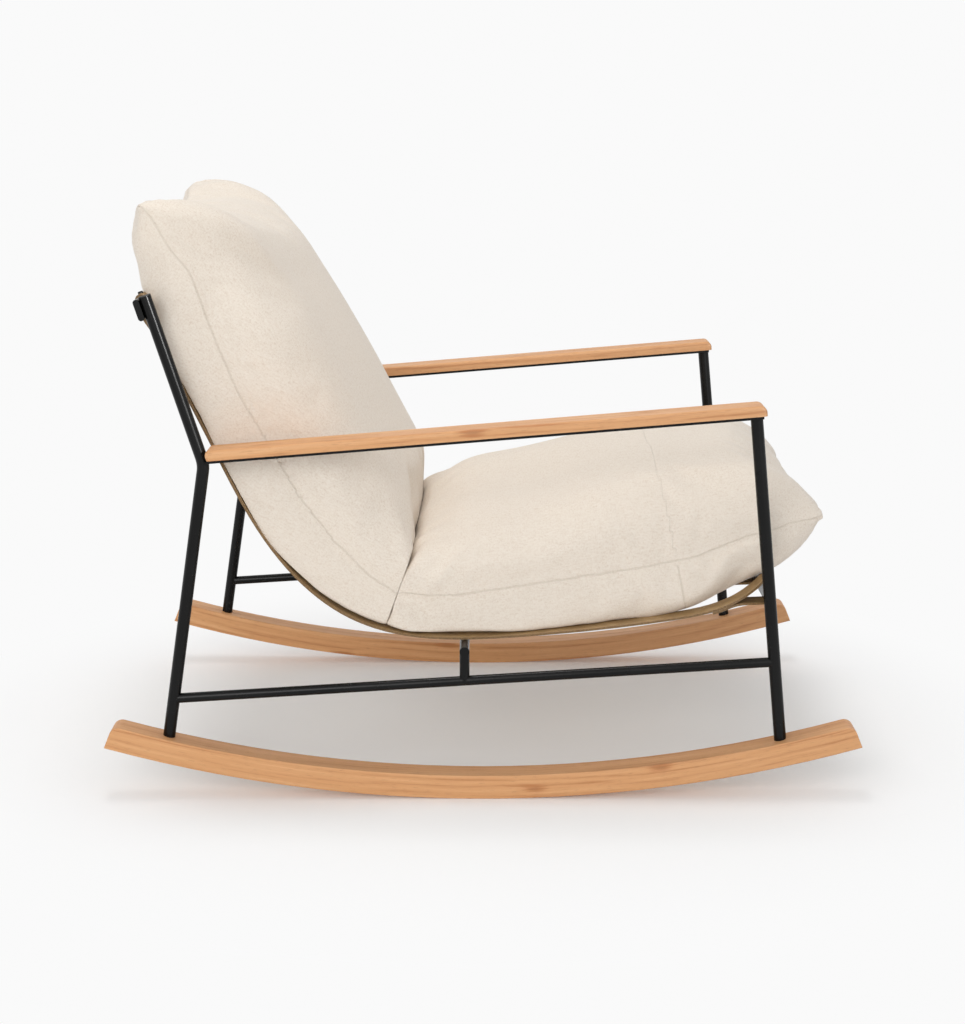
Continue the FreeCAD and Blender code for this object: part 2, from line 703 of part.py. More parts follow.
# Each section is a flat outline. Rows on the straps give how far along the strap it
# stands (share of the hanging length), its lean in degrees, its thickness, where the
# side seam sits in that thickness, and how far it stands out past the usual half width.
SEAT_ON_STRAPS = (
    (0.5082, 70.2, 152.0, 0.32, 2.0),
    (0.5763, 78.0, 182.5, 0.31, 0.0),
    (0.6530, 82.9, 194.0, 0.33, -1.0),
    (0.7396, 86.0, 204.0, 0.34, -1.0),
    (0.8264, 86.1, 209.0, 0.35, 1.0),
    (0.8923, 81.2, 210.0, 0.37, 3.0),
)
# Rows past the straps give the foot's place from the landing on the front bar instead.
SEAT_NOSE = (
    (-37.0, -18.5, 76.7, 183.0, 0.43, 5.0),
    (13.0, 8.0, 72.7, 128.0, 0.52, 8.0),
    (58.0, 38.0, 72.4, 63.0, 0.55, 10.0),
    (85.0, 70.5, 66.8, 5.0, 0.50, 11.0),
)
BACK_ON_STRAPS = (
    (0.5082, 70.2, 152.0, 0.32, 2.0),
    (0.4510, 56.5, 185.0, 0.33, 0.0),
    (0.3837, 47.4, 207.0, 0.33, -1.0),
    (0.3110, 44.0, 218.0, 0.33, -1.0),
    (0.2297, 39.7, 216.0, 0.33, -1.0),
    (0.1541, 38.3, 209.5, 0.34, 0.0),
    (0.0849, 37.6, 201.0, 0.35, 1.0),
    (0.0299, 36.5, 188.0, 0.37, 2.0),
)
# Rows above the top bar give the foot's place from the take-off at that bar.
BACK_TOP = (
    (-8.0, 37.5, 29.7, 161.0, 0.40, 4.0),
    (-21.0, 77.0, 27.3, 130.0, 0.43, 6.0),
    (-22.0, 110.0, 26.2, 77.0, 0.46, 9.0),
    (-20.0, 129.5, 36.0, 6.0, 0.50, 11.0),
)
PRESSED_IN = 2.0            # the plain form reaches this far into the straps, then is cut
FLAT_SHARE = 0.86           # flat part of a section's underside
CROWN_SHARE = 0.80          # part of a section's top taken by the crown's arc
CROWN_DROP = 0.12           # fall of that arc at its ends


def tangent_arc(start, heading, end):
    # middle point of the arc that leaves start along heading and ends at end
    n = left_of(heading)
    chord = (end[0] - start[0], end[1] - start[1])
    lean = chord[0] * n[0] + chord[1] * n[1]
    radius = (chord[0] ** 2 + chord[1] ** 2) / (2 * lean)
    centre = along(start, n, radius)
    middle = between(start, end, 0.5)
    reach = distance(centre, middle)
    side = ((middle[0] - centre[0]) / reach, (middle[1] - centre[1]) / reach)
    return along(centre, side, abs(radius))


def section(foot, degrees, thickness, seam, half_width):
    # outline across the cushion: (y, height) pairs stood up along the lean
    up = direction(degrees)
    flat = FLAT_SHARE * half_width
    crown = CROWN_SHARE * half_width
    drop = CROWN_DROP * thickness
    shoulder = (crown, thickness - drop)
    edge = (half_width, seam * thickness)
    low = tangent_arc((flat, 0.0), (1.0, 0.0), edge)
    crown_radius = (crown ** 2 + drop ** 2) / (2 * drop)
    heading = (math.sqrt(1 - (crown / crown_radius) ** 2), -crown / crown_radius)
    high = tangent_arc(shoulder, heading, edge)

    def stand(p, mirror=1):
        q = along(foot, up, p[1])
        return V(q[0], mirror * p[0], q[1])

    def bow(a, b, c, mirror=1):
        return Part.Arc(stand(a, mirror), stand(b, mirror), stand(c, mirror)).toShape()

    return Part.Wire([
        Part.makeLine(stand((flat, 0.0), -1), stand((flat, 0.0))),
        bow((flat, 0.0), low, edge),
        bow(edge, high, shoulder),
        Part.Arc(stand(shoulder), stand((0.0, thickness)), stand(shoulder, -1)).toShape(),
        bow(shoulder, high, edge, -1),
        bow(edge, low, (flat, 0.0), -1),
    ])


def cushion_form(on_straps, beyond, origin, inset, first_shift):
    # a loft through the rows, drawn in by the inset all round; the first row is the
    # one that faces the other cushion, and it moves by first_shift
    rows = []
    for share, degrees, thickness, seam, reach in on_straps:
        foot = on_strap(share * HANGING_LENGTH, HALF_T + CUSHION_CLEARANCE - PRESSED_IN)
        if not rows:
            foot = along(foot, direction(degrees - 90.0), first_shift)
        rows.append((foot, degrees, thickness + PRESSED_IN, seam, reach))
    for dx, dz, degrees, thickness, seam, reach in beyond:
        foot = (origin[0] + dx, origin[1] + dz)
        rows.append((foot, degrees, thickness, seam, reach))
    wires = []
    for foot, degrees, thickness, seam, reach in rows:
        tall = thickness - 2 * inset
        if tall > 0:
            half_width = CUSHION_HALF_WIDTH + reach - inset
            raised = along(foot, direction(degrees), inset)
            wires.append(section(raised, degrees, tall, seam, half_width))
    return Part.makeLoft(wires, True, False)


def strap_zone(gap):
    # all the space behind and below the sitter's face of the straps, plus a gap
    face_line = sampled(HANGING, HANG_SAMPLES, HALF_T + gap)
    start, end = ends_of(face_line)
    far = -ROCKER_LENGTH
    corners = [end, V(end.x, 0, 0), V(far, 0, 0), V(far, 0, start.z), start]
    edges = [face_line]
    for i in range(len(corners) - 1):
        edges.append(Part.makeLine(corners[i], corners[i + 1]))
    zone = spread(edges, -HALF, HALF)
    grow = STRAP_THICKNESS + gap
    bars = [
        flat_bar(TOP_BAR_MIDDLE, TOP_BAR_UP, -HALF, HALF, grow),
        flat_bar(FRONT_BAR_MIDDLE, FRONT_BAR_UP, -HALF, HALF, grow),
    ]
    return [zone] + bars


def screw_pockets(grow):
    # clearance round the screw heads, grown by the cover's thickness for the insert
    pockets = []
    wide = STRAP_SCREW_HEAD_DIAMETER + 2 * (POCKET_MARGIN + grow)
    tall = STRAP_SCREW_HEAD_HEIGHT + POCKET_MARGIN + grow
    for index in range(STRAP_COUNT):
        pockets.append(pin(SCREW_SEAT, TOP_BAR_UP, strap_y(index), wide, tall))
    return pockets


def cushion(on_straps, beyond, origin, away):
    # the cover and the filled insert inside it; away is +1 towards the front, -1 to the rear
    result = []
    for inset in (0.0, COVER_THICKNESS):
        form = cushion_form(on_straps, beyond, origin, inset, away * (NEIGHBOUR_GAP / 2 + inset))
        result.append(form.cut(strap_zone(CUSHION_CLEARANCE + inset) + screw_pockets(inset)))
    return result[0].cut(result[1]), result[1]


# Hard parts

rocker_plain = rocker_blank()
bolts = []
inserts = []
plugs = []
screws_in_arms = []
for side, sign in SIDES:
    y = sign * HALF
    rocker = rocker_plain.copy()
    rocker.translate(V(0, y, 0))
    for foot, axis in FEET:
        rocker = rocker.cut(bolt_recess(foot, axis, y))
        bolts.append(bolt(foot, axis, y))
        inserts.append(leg_insert(foot, axis, y))
    save(side + "_rocker", rocker)
    save(side + "_rear_leg", rear_leg(y))
    save(side + "_front_leg", front_leg(y))
    save(side + "_side_rail", side_rail(y))
    save(side + "_post", post(y))
    save(side + "_arm_bar", arm_bar(y))
    save(side + "_armrest", armrest(y))
    plugs.append(leg_plug(y))
    screws_in_arms.extend(arm_screws(y))

rivets = []
strap_screws = []
for index in range(STRAP_COUNT):
    y = strap_y(index)
    own = [rivet(REAR_RIVET, y), rivet(FRONT_RIVET, y)]
    screw = strap_screw(y)
    strap = strap_blank(y).cut(own + [screw])
    save("strap_" + str(index + 1), strap)
    rivets.extend(own)
    strap_screws.append(screw)

top_bar = flat_bar(TOP_BAR_MIDDLE, TOP_BAR_UP, -HALF - LEG_R, HALF + LEG_R)
save("top_crossbar", top_bar.cut(strap_screws))
save("front_crossbar", flat_bar(FRONT_BAR_MIDDLE, FRONT_BAR_UP, -HALF, HALF).cut(
    [rod(FRONT_FOOT, FRONT_TOP, y, LEG_DIAMETER) for y in (-HALF, HALF)]))
save("mid_crossbar", mid_crossbar())
save("rocker_bolts", Part.makeCompound(bolts))
save("leg_inserts", Part.makeCompound(inserts))
save("leg_plugs", Part.makeCompound(plugs))
save("armrest_screws", Part.makeCompound(screws_in_arms))
save("strap_rivets", Part.makeCompound(rivets))
save("strap_screws", Part.makeCompound(strap_screws))

# Cushions

seat_cover, seat_fill = cushion(SEAT_ON_STRAPS, SEAT_NOSE, LANDING, 1)
back_cover, back_fill = cushion(BACK_ON_STRAPS, BACK_TOP, TAKE_OFF, -1)
save("seat_cushion", seat_cover)
save("seat_insert", seat_fill)
save("back_cushion", back_cover)
save("back_insert", back_fill)
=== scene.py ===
# %% [markdown]
# # A rocking lounge chair
# The chair is a pair of bent steel side frames on curved oak rockers. Leather straps hang
# between two flat crossbars, and two big pillows lie loose on them. The hard pieces are
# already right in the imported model, so they stay and get finishes. The pillows are the
# soft pieces, and they are made here.

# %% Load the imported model
import math

import bpy
import numpy as np
from mathutils.bvhtree import BVHTree
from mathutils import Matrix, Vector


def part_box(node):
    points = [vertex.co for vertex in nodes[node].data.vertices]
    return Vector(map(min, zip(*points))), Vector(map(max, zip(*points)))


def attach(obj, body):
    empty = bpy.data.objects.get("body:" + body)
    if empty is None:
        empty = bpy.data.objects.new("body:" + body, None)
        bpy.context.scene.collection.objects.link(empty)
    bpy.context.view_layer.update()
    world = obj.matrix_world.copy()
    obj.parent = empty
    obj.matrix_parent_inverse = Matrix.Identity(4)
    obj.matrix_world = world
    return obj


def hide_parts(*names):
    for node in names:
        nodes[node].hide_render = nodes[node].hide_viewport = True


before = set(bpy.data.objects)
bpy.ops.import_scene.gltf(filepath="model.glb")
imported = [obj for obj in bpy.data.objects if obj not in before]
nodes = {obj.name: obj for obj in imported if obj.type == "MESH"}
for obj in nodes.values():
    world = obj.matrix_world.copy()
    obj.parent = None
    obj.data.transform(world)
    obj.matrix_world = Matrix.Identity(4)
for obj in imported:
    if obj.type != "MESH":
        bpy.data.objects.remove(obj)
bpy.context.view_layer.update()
MM = 0.001

# %% [markdown]
# ## The camera
# The picture was taken from the chair's side with a long lens, a little above the
# armrests, looking slightly down. A long lens keeps the two rockers nearly parallel. The
# camera is set first, so that every later step can be judged through it.

# %% Camera
EYE = (-0.006, -2.908, 0.934)
LOOK_DOWN = 12.04           # degrees below level
TURN = -0.11                # degrees, to the right of straight on
FOCAL_LENGTH = 76.70        # millimetres on a sensor 36 mm wide

bpy.ops.object.camera_add(location=EYE)
camera = bpy.context.object
camera.name = "camera"
camera.rotation_euler = (math.radians(90 - LOOK_DOWN), 0, math.radians(TURN))
camera.data.sensor_fit = "HORIZONTAL"
camera.data.sensor_width = 36
camera.data.lens = FOCAL_LENGTH
bpy.context.scene.camera = camera
print("camera at", tuple(camera.location))


# %% [markdown]
# ## Shader sums in plain Python
# A finish is a chain of small sums on colours and distances. Written node by node they
# are hard to read, so a wire from one node to the next is wrapped in a class that knows
# plus, minus and times. Every other node comes from one method, `node`.

# %% Wires and finishes
class Wire:
    """An output socket that + - * / and a few named sums work on."""

    def __init__(self, finish, socket):
        self.finish = finish
        self.socket = socket

    def sum_of(self, operation, *values):
        return self.finish.node("Math", {"operation": operation}, dict(enumerate(values)))

    def __add__(self, other):
        return self.sum_of("ADD", self, other)

    __radd__ = __add__

    def __mul__(self, other):
        return self.sum_of("MULTIPLY", self, other)

    __rmul__ = __mul__

    def __sub__(self, other):
        return self.sum_of("SUBTRACT", self, other)

    def __rsub__(self, other):
        return self.sum_of("SUBTRACT", other, self)

    def __truediv__(self, other):
        return self.sum_of("DIVIDE", self, other)

    def __pow__(self, other):
        return self.sum_of("POWER", self, other)

    def size(self):
        """The value without its sign."""
        return self.sum_of("ABSOLUTE", self)

    def sine(self):
        return self.sum_of("SINE", self)

    def cosine(self):
        return self.sum_of("COSINE", self)

    def angle_over(self, other):
        return self.sum_of("ARCTAN2", self, other)

    def at_most(self, other):
        return self.sum_of("MINIMUM", self, other)

    def step(self, low, high):
        """0 below low and 1 above high, with a soft rise between them."""
        return self.finish.node("MapRange", {"interpolation_type": "SMOOTHSTEP"},
                                {0: self, 1: low, 2: high, 3: 0.0, 4: 1.0})


class Finish:
    """A material: its shader's fixed numbers, and the nodes that vary it."""

    def __init__(self, name, **fixed):
        self.material = bpy.data.materials.new(name)
        self.material.use_nodes = True
        self.tree = self.material.node_tree
        self.shader = self.tree.nodes["Principled BSDF"]
        for socket, value in fixed.items():
            self.shader.inputs[socket.replace("_", " ")].default_value = value

    def node(self, kind, settings, links, output=0):
        """Adds a node, sets it up, feeds its inputs and hands back one output."""
        made = self.tree.nodes.new("ShaderNode" + kind)
        for key, value in settings.items():
            setattr(made, key, value)
        for key, value in links.items():
            self.feed(made.inputs[key], value)
        return Wire(self, made.outputs[output])

    def feed(self, socket, value):
        if isinstance(value, Wire):
            self.tree.links.new(value.socket, socket)
        else:
            socket.default_value = value

    def point(self, turn=0.0):
        """Object coordinates, turned by some degrees about the chair's width."""
        return self.turned(self.node("TexCoord", {}, {}, "Object"), turn)

    def turned(self, vector, turn):
        return self.node("VectorRotate", {"rotation_type": "Y_AXIS"},
                         {"Vector": vector, "Angle": math.radians(turn)})

    def facing(self, turn=0.0):
        """The direction that the surface faces, turned the same way."""
        return self.turned(self.node("TexCoord", {}, {}, "Normal"), turn)

    def split(self, vector):
        return [self.node("SeparateXYZ", {}, {0: vector}, i) for i in range(3)]

    def join(self, x, y, z):
        return self.node("CombineXYZ", {}, {0: x, 1: y, 2: z})

    def noise(self, vector, scale=1.0, detail=2.0, roughness=0.5):
        return self.node("TexNoise", {}, {"Vector": vector, "Scale": scale, "Detail": detail,
                                          "Roughness": roughness})

    def mix(self, share, first, second):
        return self.node("Mix", {"data_type": "RGBA"}, {0: share, 6: first, 7: second}, 2)

    def bump(self, height, depth, strength=1.0):
        normal = self.node("Bump", {}, {"Height": height, "Distance": depth,
                                        "Strength": strength})
        self.feed(self.shader.inputs["Normal"], normal)

    def colour(self, value):
        self.feed(self.shader.inputs["Base Color"], value)

    def roughness(self, value):
        self.feed(self.shader.inputs["Roughness"], value)


def paint(red, green, blue):
    """A screen colour, 0 to 255, as the light values that shaders work in."""
    def light(value):
        share = value / 255
        return share / 12.92 if share <= 0.04045 else ((share + 0.055) / 1.055) ** 2.4
    return (light(red), light(green), light(blue), 1.0)


def dress(finish, *names):
    """Gives CAD nodes or pieces a finish in place of what they came with."""
    for name in names:
        mesh = bpy.data.objects[name].data
        mesh.materials.clear()
        mesh.materials.append(finish.material)


# %% [markdown]
# ## Oak
# The rockers and armrests are solid oak with a clear matt oil. Oak shows three things at
# once: broad streaks along the board, fine fibres, and short dark pores like pencil
# dashes. All three are noise that is stretched along the grain. On the armrests the grain
# runs straight, and on the rockers it follows the bend, so there the coordinates are a
# distance along the arc and a depth below it.

# %% Oak finishes
OAK_LIGHT = paint(229, 178, 129)
OAK_MIDDLE = paint(217, 161, 110)
OAK_DARK = paint(188, 125, 76)
OAK_PORE = paint(168, 116, 74)
OAK_END = paint(196, 142, 96)
ARM_SLOPE = 4.65            # degrees
ROCKER_RADIUS = 1.8         # of the rocker's sole, about a point straight above the middle


def straight_grain(finish):
    """Distances along the board, across it and down through it, and 1 on an end face."""
    run, across, depth = finish.split(finish.point(ARM_SLOPE))
    end = finish.split(finish.facing(ARM_SLOPE))[0].size()
    return run, across, depth, end


def bent_grain(finish):
    """The same for a rocker, along its arc."""
    x, across, z = finish.split(finish.point())
    rise = ROCKER_RADIUS - z
    angle = x.angle_over(rise)
    depth = (x * x + rise * rise) ** 0.5
    nx, ny, nz = finish.split(finish.facing())
    end = (nx * angle.cosine() + nz * angle.sine()).size()
    return angle * ROCKER_RADIUS, across, depth, end


def oak(name, grain, seed):
    """The bare numbers are scales per metre, far smaller along the grain than across it."""
    finish = Finish(name, Specular_IOR_Level=0.35)
    run, across, depth, end = grain(finish)
    drift = finish.noise(finish.join(run * 2.6 + seed, across * 9.0, depth * 14.0))
    streaks = finish.noise(finish.join(run * 4.2 + seed, across * 150.0, depth * 190.0),
                           detail=4.0, roughness=0.6)
    rings = (depth * 520.0 + across * 150.0 + drift * 26.0 + run * 3.0).sine() * 0.5 + 0.5
    fibres = finish.noise(finish.join(run * 26.0, across * 800.0, depth * 900.0 + seed),
                          detail=3.0, roughness=0.65)
    pores = finish.noise(finish.join(run * 70.0 + seed, across * 1300.0, depth * 1500.0),
                         detail=1.0).step(0.62, 0.72)
    knots = finish.node("TexVoronoi", {"feature": "F1"},
                        {"Vector": finish.join(run * 5.5 + seed, across * 22.0, depth * 22.0),
                         "Scale": 1.0, "Randomness": 1.0})
    knot = 1.0 - knots.step(0.03, 0.16)
    tone = streaks * 0.60 + rings * 0.12 + fibres * 0.28 - knot * 0.22
    colour = finish.mix(tone.step(0.28, 0.50), OAK_DARK, OAK_MIDDLE)
    colour = finish.mix(tone.step(0.50, 0.72), colour, OAK_LIGHT)
    colour = finish.mix((1.0 - knots.step(0.02, 0.07)) * 0.5, colour, OAK_PORE)
    colour = finish.mix(pores * 0.45, colour, OAK_PORE)
    colour = finish.mix(end.step(0.75, 0.95) * 0.55, colour, OAK_END)
    finish.colour(colour)
    finish.roughness(0.56 - tone * 0.14 + pores * 0.15)
    finish.bump(fibres * 0.4 - pores * 0.6, 0.25 * MM, 0.5)
    return finish


arm_oak = oak("oiled_oak_straight", straight_grain, 3.1)
rocker_oak = oak("oiled_oak_bent", bent_grain, 11.7)
armrests = ["right_armrest", "left_armrest"]
rockers = ["right_rocker", "left_rocker"]
dress(arm_oak, *armrests)
dress(rocker_oak, *rockers)
print("oak on", armrests + rockers)

# %% [markdown]
# ## Black steel
# Tubes and bars are powder coated: near black, half matt, with the faint pebbling that
# baked powder leaves. The pebbling is a small bump, and the roughness wanders a little.

# %% Powder coat
def powder_coat(name, colour, roughness):
    finish = Finish(name, Specular_IOR_Level=0.2)
    place = finish.point()
    pebbles = finish.noise(place, 900.0, 2.0)
    drift = finish.noise(place, 14.0, 3.0)
    worn = finish.mix(drift.step(0.35, 0.75), colour, paint(12, 12, 12))
    finish.colour(worn)
    finish.roughness(roughness + drift * 0.10)
    finish.bump(pebbles, 0.10 * MM, 0.25)
    return finish


black = powder_coat("black_powder_coat", paint(6, 6, 6), 0.22)
rivet_black = powder_coat("black_rivets", paint(40, 37, 34), 0.30)
tubes = ["_rear_leg", "_front_leg", "_side_rail", "_post", "_arm_bar"]
steel = [side + tube for side in ("right", "left") for tube in tubes]
steel += ["top_crossbar", "front_crossbar", "mid_crossbar"]
dress(black, *steel)
dress(rivet_black, "strap_rivets", "strap_screws")
print("powder coat on", len(steel), "tubes and bars")


# %% [markdown]
# ## Hidden steel and plastic
# The bolts, the threaded sleeves and the screws below the armrests are plain zinced
# steel, and the plugs in the open tube ends are moulded plastic.

# %% Fasteners and plugs
def zinc(name):
    finish = Finish(name, Metallic=1.0)
    place = finish.point()
    spangle = finish.noise(place, 260.0, 3.0)
    finish.colour(finish.mix(spangle, paint(150, 152, 156), paint(196, 197, 200)))
    finish.roughness(spangle * 0.2 + 0.28)
    finish.bump(finish.noise(place, 1400.0), 0.05 * MM, 0.4)
    return finish


def moulded(name):
    finish = Finish(name)
    place = finish.point()
    grain = finish.noise(place, 1100.0, 2.0)
    finish.colour(finish.mix(grain, paint(20, 20, 21), paint(34, 34, 35)))
    finish.roughness(grain * 0.2 + 0.45)
    finish.bump(grain, 0.08 * MM, 0.5)
    return finish


fasteners = ["rocker_bolts", "leg_inserts", "armrest_screws"]
dress(zinc("zinced_steel"), *fasteners)
dress(moulded("plug_plastic"), "leg_plugs")
print("zinc on", fasteners)

# %% [markdown]
# ## Strap leather
# Each strap is one thick belt of harness leather. Its broad faces are a golden tan with a
# fine pebbled grain, and its cut edges are dyed and rubbed to a darker brown. Which of the
# two shows is told by the direction that the surface faces: the cut edges face sideways.

# %% Leather
def harness_leather(name):
    finish = Finish(name, Specular_IOR_Level=0.4)
    place = finish.point()
    edge = finish.split(finish.facing())[1].size().step(0.55, 0.85)
    cells = finish.node("TexVoronoi", {"feature": "DISTANCE_TO_EDGE"},
                        {"Vector": place, "Scale": 620.0})
    creases = cells.step(0.0, 0.14)
    patches = finish.noise(place, 30.0, 4.0, 0.6)
    x, y, z = finish.split(place)
    layers = finish.noise(finish.join(x * 60.0, y * 400.0, z * 60.0), 8.0, 3.0)
    face = finish.mix(patches.step(0.3, 0.7), paint(158, 126, 82), paint(184, 152, 106))
    # Painted shade: the creases of the grain, which the bump sinks, are also darkened.
    face = finish.mix((1.0 - creases) * 0.4, face, paint(124, 94, 58))
    cut = finish.mix(layers.step(0.3, 0.7), paint(104, 78, 46), paint(140, 110, 70))
    finish.colour(finish.mix(edge, face, cut))
    finish.roughness(0.42 + edge * 0.2 + patches * 0.12)
    finish.bump(creases * (1.0 - edge) + layers * edge, 0.25 * MM, 0.6)
    return finish


leather = harness_leather("harness_leather")
straps = ["strap_%d" % number for number in range(1, 7)]
dress(leather, *straps)
STRAP_Y = [(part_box(name)[0].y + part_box(name)[1].y) / 2 for name in straps]
print("straps across the chair at", [round(y, 3) for y in STRAP_Y])


# %% [markdown]
# ## Pillow covers
# A loose pillow is two panels sewn together round the edge and blown up by its filling.
# The cloth goes slack in the corners, which stand out as ears, and the edge between two
# corners is drawn in. The forms start from the CAD solids' outer skins, get an even mesh
# of small squares, and are then inflated as cloth with the seam held still. What rests on
# the straps only swells back to the CAD form, from which the cloth starts a little smaller.

# %% Mesh helpers
def only(piece):
    bpy.ops.object.select_all(action="DESELECT")
    piece.select_set(True)
    bpy.context.view_layer.objects.active = piece


def points_of(piece):
    flat = np.zeros(len(piece.data.vertices) * 3)
    piece.data.vertices.foreach_get("co", flat)
    return flat.reshape(-1, 3)


def move_points(piece, points):
    piece.data.vertices.foreach_set("co", points.ravel())
    piece.data.update()


def normals_of(piece):
    flat = np.zeros(len(piece.data.vertices) * 3)
    piece.data.vertex_normals.foreach_get("vector", flat)
    return flat.reshape(-1, 3)


def soft_step(values, low, high):
    share = np.clip((values - low) / (high - low), 0, 1)
    return share * share * (3 - 2 * share)


def soften(piece, values, times):
    """Evens out a value per point with its neighbours' values, a few times over."""
    ends = np.zeros(len(piece.data.edges) * 2, dtype=np.int32)
    piece.data.edges.foreach_get("vertices", ends)
    first, second = ends.reshape(-1, 2).T
    count = np.bincount(ends, minlength=len(values)) + 1
    for _ in range(times):
        total = values.copy()
        np.add.at(total, first, values[second])
        np.add.at(total, second, values[first])
        values = total / count
    return values


def outer_skin(node, name):
    """A copy of a hollow CAD solid's mesh without the wall of its hollow."""
    only(nodes[node])
    piece = bpy.data.objects.new(name, nodes[node].data.copy())
    bpy.context.scene.collection.objects.link(piece)
    only(piece)
    bpy.ops.object.mode_set(mode="EDIT")
    bpy.ops.mesh.select_all(action="SELECT")
    bpy.ops.mesh.customdata_custom_splitnormals_clear()
    bpy.ops.mesh.remove_doubles(threshold=0.01 * MM)
    bpy.ops.mesh.separate(type="LOOSE")
    bpy.ops.object.mode_set(mode="OBJECT")
    shells = sorted(bpy.context.selected_objects, key=lambda shell: shell.dimensions.length)
    for shell in shells[:-1]:
        bpy.data.objects.remove(shell)
    shells[-1].name = name
    only(shells[-1])
    return shells[-1]


# %% [markdown]
# The seam's route is the ridge of the CAD form, seen from the side. How far a point of
# the cloth lies from it, and on which side, is kept on the mesh as an attribute. The
# finish uses it for the sewn line, a bumped groove darkened with painted shade, which is far
# finer than the mesh.

# %% Seam routes, in the side view
SEAT_SEAM = ((-0.1134, 0.2626), (-0.0481, 0.2613), (0.0280, 0.2706), (0.1150, 0.2832),
             (0.2051, 0.2971), (0.2800, 0.3111), (0.3482, 0.3398), (0.3999, 0.3532),
             (0.4356, 0.3527), (0.4531, 0.3545), (0.4800, 0.3545))
SEAT_CORNER_SEAM = ((0.2560, 0.3030), (0.2620, 0.2740), (0.2707, 0.2300))
BACK_SEAM = ((-0.4700, 0.7700), (-0.4330, 0.7640), (-0.4160, 0.7480), (-0.3926, 0.7100),
             (-0.3765, 0.6850), (-0.3600, 0.6450), (-0.3371, 0.5850), (-0.3139, 0.5290),
             (-0.2815, 0.4710), (-0.2400, 0.3960), (-0.1934, 0.3331), (-0.1510, 0.2905),
             (-0.1134, 0.2626))


def off_route(points, route):
    """Distance in the side view from a route, minus on its right-hand side."""
    nearest = np.full(len(points), np.inf)
    flat = points[:, [0, 2]]
    for start, end in zip(route, route[1:]):
        start = np.array(start)
        run = np.array(end) - start
        share = np.clip((flat - start) @ run / (run @ run), 0, 1)
        away = flat - start - share[:, None] * run
        length = np.hypot(away[:, 0], away[:, 1])
        side = np.where(run[0] * away[:, 1] - run[1] * away[:, 0] < 0, -1.0, 1.0)
        nearest = np.where(length < np.abs(nearest), side * length, nearest)
    return nearest


def keep(piece, name, values):
    stored = piece.data.attributes.new(name, "FLOAT", "POINT")
    stored.data.foreach_set("value", values.astype(np.float32))


print("points on the seams:", len(SEAT_SEAM), len(SEAT_CORNER_SEAM), len(BACK_SEAM))


# %% [markdown]
# Cloth that is blown up by pressure finds its own roundness. The coarse mesh keeps the
# simulation short, and one subdivision makes it fine afterwards.

# %% Inflating a cover
SQUARE = 9.0 * MM           # side of the cover's even mesh, halved at the end
SLACK = 2.0 * MM            # the cover starts this much smaller
SWELL = 6.0 * MM            # and may move this far
SIMULATED_FRAMES = 20
SEWN_HALF = 4.0 * MM        # half width of the strip along the seam that is held still


def even_mesh(piece):
    only(piece)
    piece.data.remesh_voxel_size = SQUARE
    bpy.ops.object.voxel_remesh()
    bpy.ops.object.mode_set(mode="EDIT")
    bpy.ops.mesh.select_all(action="SELECT")
    bpy.ops.mesh.vertices_smooth(factor=0.5, repeat=2)
    bpy.ops.transform.shrink_fatten(value=-SLACK)
    bpy.ops.object.mode_set(mode="OBJECT")


def inflate(piece, sewn, reach):
    """Blows the cover up as cloth; sewn points stay, and no point moves past its reach."""
    start = points_of(piece)
    group = piece.vertex_groups.new(name="sewn")
    group.add([int(i) for i in np.flatnonzero(sewn)], 1.0, "REPLACE")
    cloth = piece.modifiers.new("filling", "CLOTH")
    cloth.settings.use_pressure = True
    cloth.settings.uniform_pressure_force = 4.0
    cloth.settings.effector_weights.gravity = 0.0
    cloth.settings.vertex_group_mass = "sewn"
    cloth.settings.quality = 5
    cloth.settings.shrink_min = -0.02
    cloth.collision_settings.use_collision = False
    for number in range(1, SIMULATED_FRAMES + 1):
        bpy.context.scene.frame_set(number)
    only(piece)
    bpy.ops.object.modifier_apply(modifier=cloth.name)
    piece.vertex_groups.clear()
    bpy.context.scene.frame_set(1)
    moved = points_of(piece) - start
    length = np.linalg.norm(moved, axis=1)
    share = soften(piece, np.minimum(1.0, reach / np.maximum(length, 1e-9)), 3)
    move_points(piece, start + moved * share[:, None])
    print(piece.name, "swelled by up to", round(length.max() / MM, 1), "mm")


def finer(piece):
    """Cuts every square of the mesh into four and rounds it."""
    only(piece)
    halves = piece.modifiers.new("halves", "SUBSURF")
    halves.levels = 1
    halves.render_levels = 1
    bpy.ops.object.modifier_apply(modifier=halves.name)


# %% [markdown]
# ## The two pillows
# The side of a pillow that lies on the straps bulges a little between them, and at the
# pillow's own edge it sags over the outermost strap and hides it. Where the two pillows
# meet, each swells into the gap until they touch. The seam is puckered by its thread: the
# cloth beside it rises and falls in small gathers.

# %% Pillow shaping
BULGE = 3.0 * MM            # of the lower side, midway between two straps
BULGE_FROM = 20.0 * MM      # from a strap's middle, where the bulge sets in
BULGE_WHOLE = 50.0 * MM     # and where it is whole
STRAP_HALF = 16.0 * MM      # half of a strap's width
OVERHANG = 30.0 * MM        # past the CAD form, at the side and near the straps
OVERHANG_FROM = 0.225       # half width where the overhang sets in
OVERHANG_WHOLE = 0.262      # and where it is whole
LOW_SIDE = 0.12             # the overhang ends at this height above the strap
SAG_PAST_STRAP = 8.5 * MM
JUNCTION_FOOT = (-0.1301, 0.2162)   # the plane where the pillows meet, in the side view
JUNCTION_WAY = (0.339, 0.941)
JUNCTION_FILL = 7.0 * MM    # how far each pillow swells into the gap between them
JUNCTION_LOW = 0.310        # height where that swelling starts to fade
JUNCTION_HIGH = 0.365       # and where it is gone
GATHER = 0.5 * MM           # height of a gather
GATHER_LENGTH = 21.0 * MM   # from one gather to the next
GATHER_REACH = 26.0 * MM    # how far from the seam the gathers die away

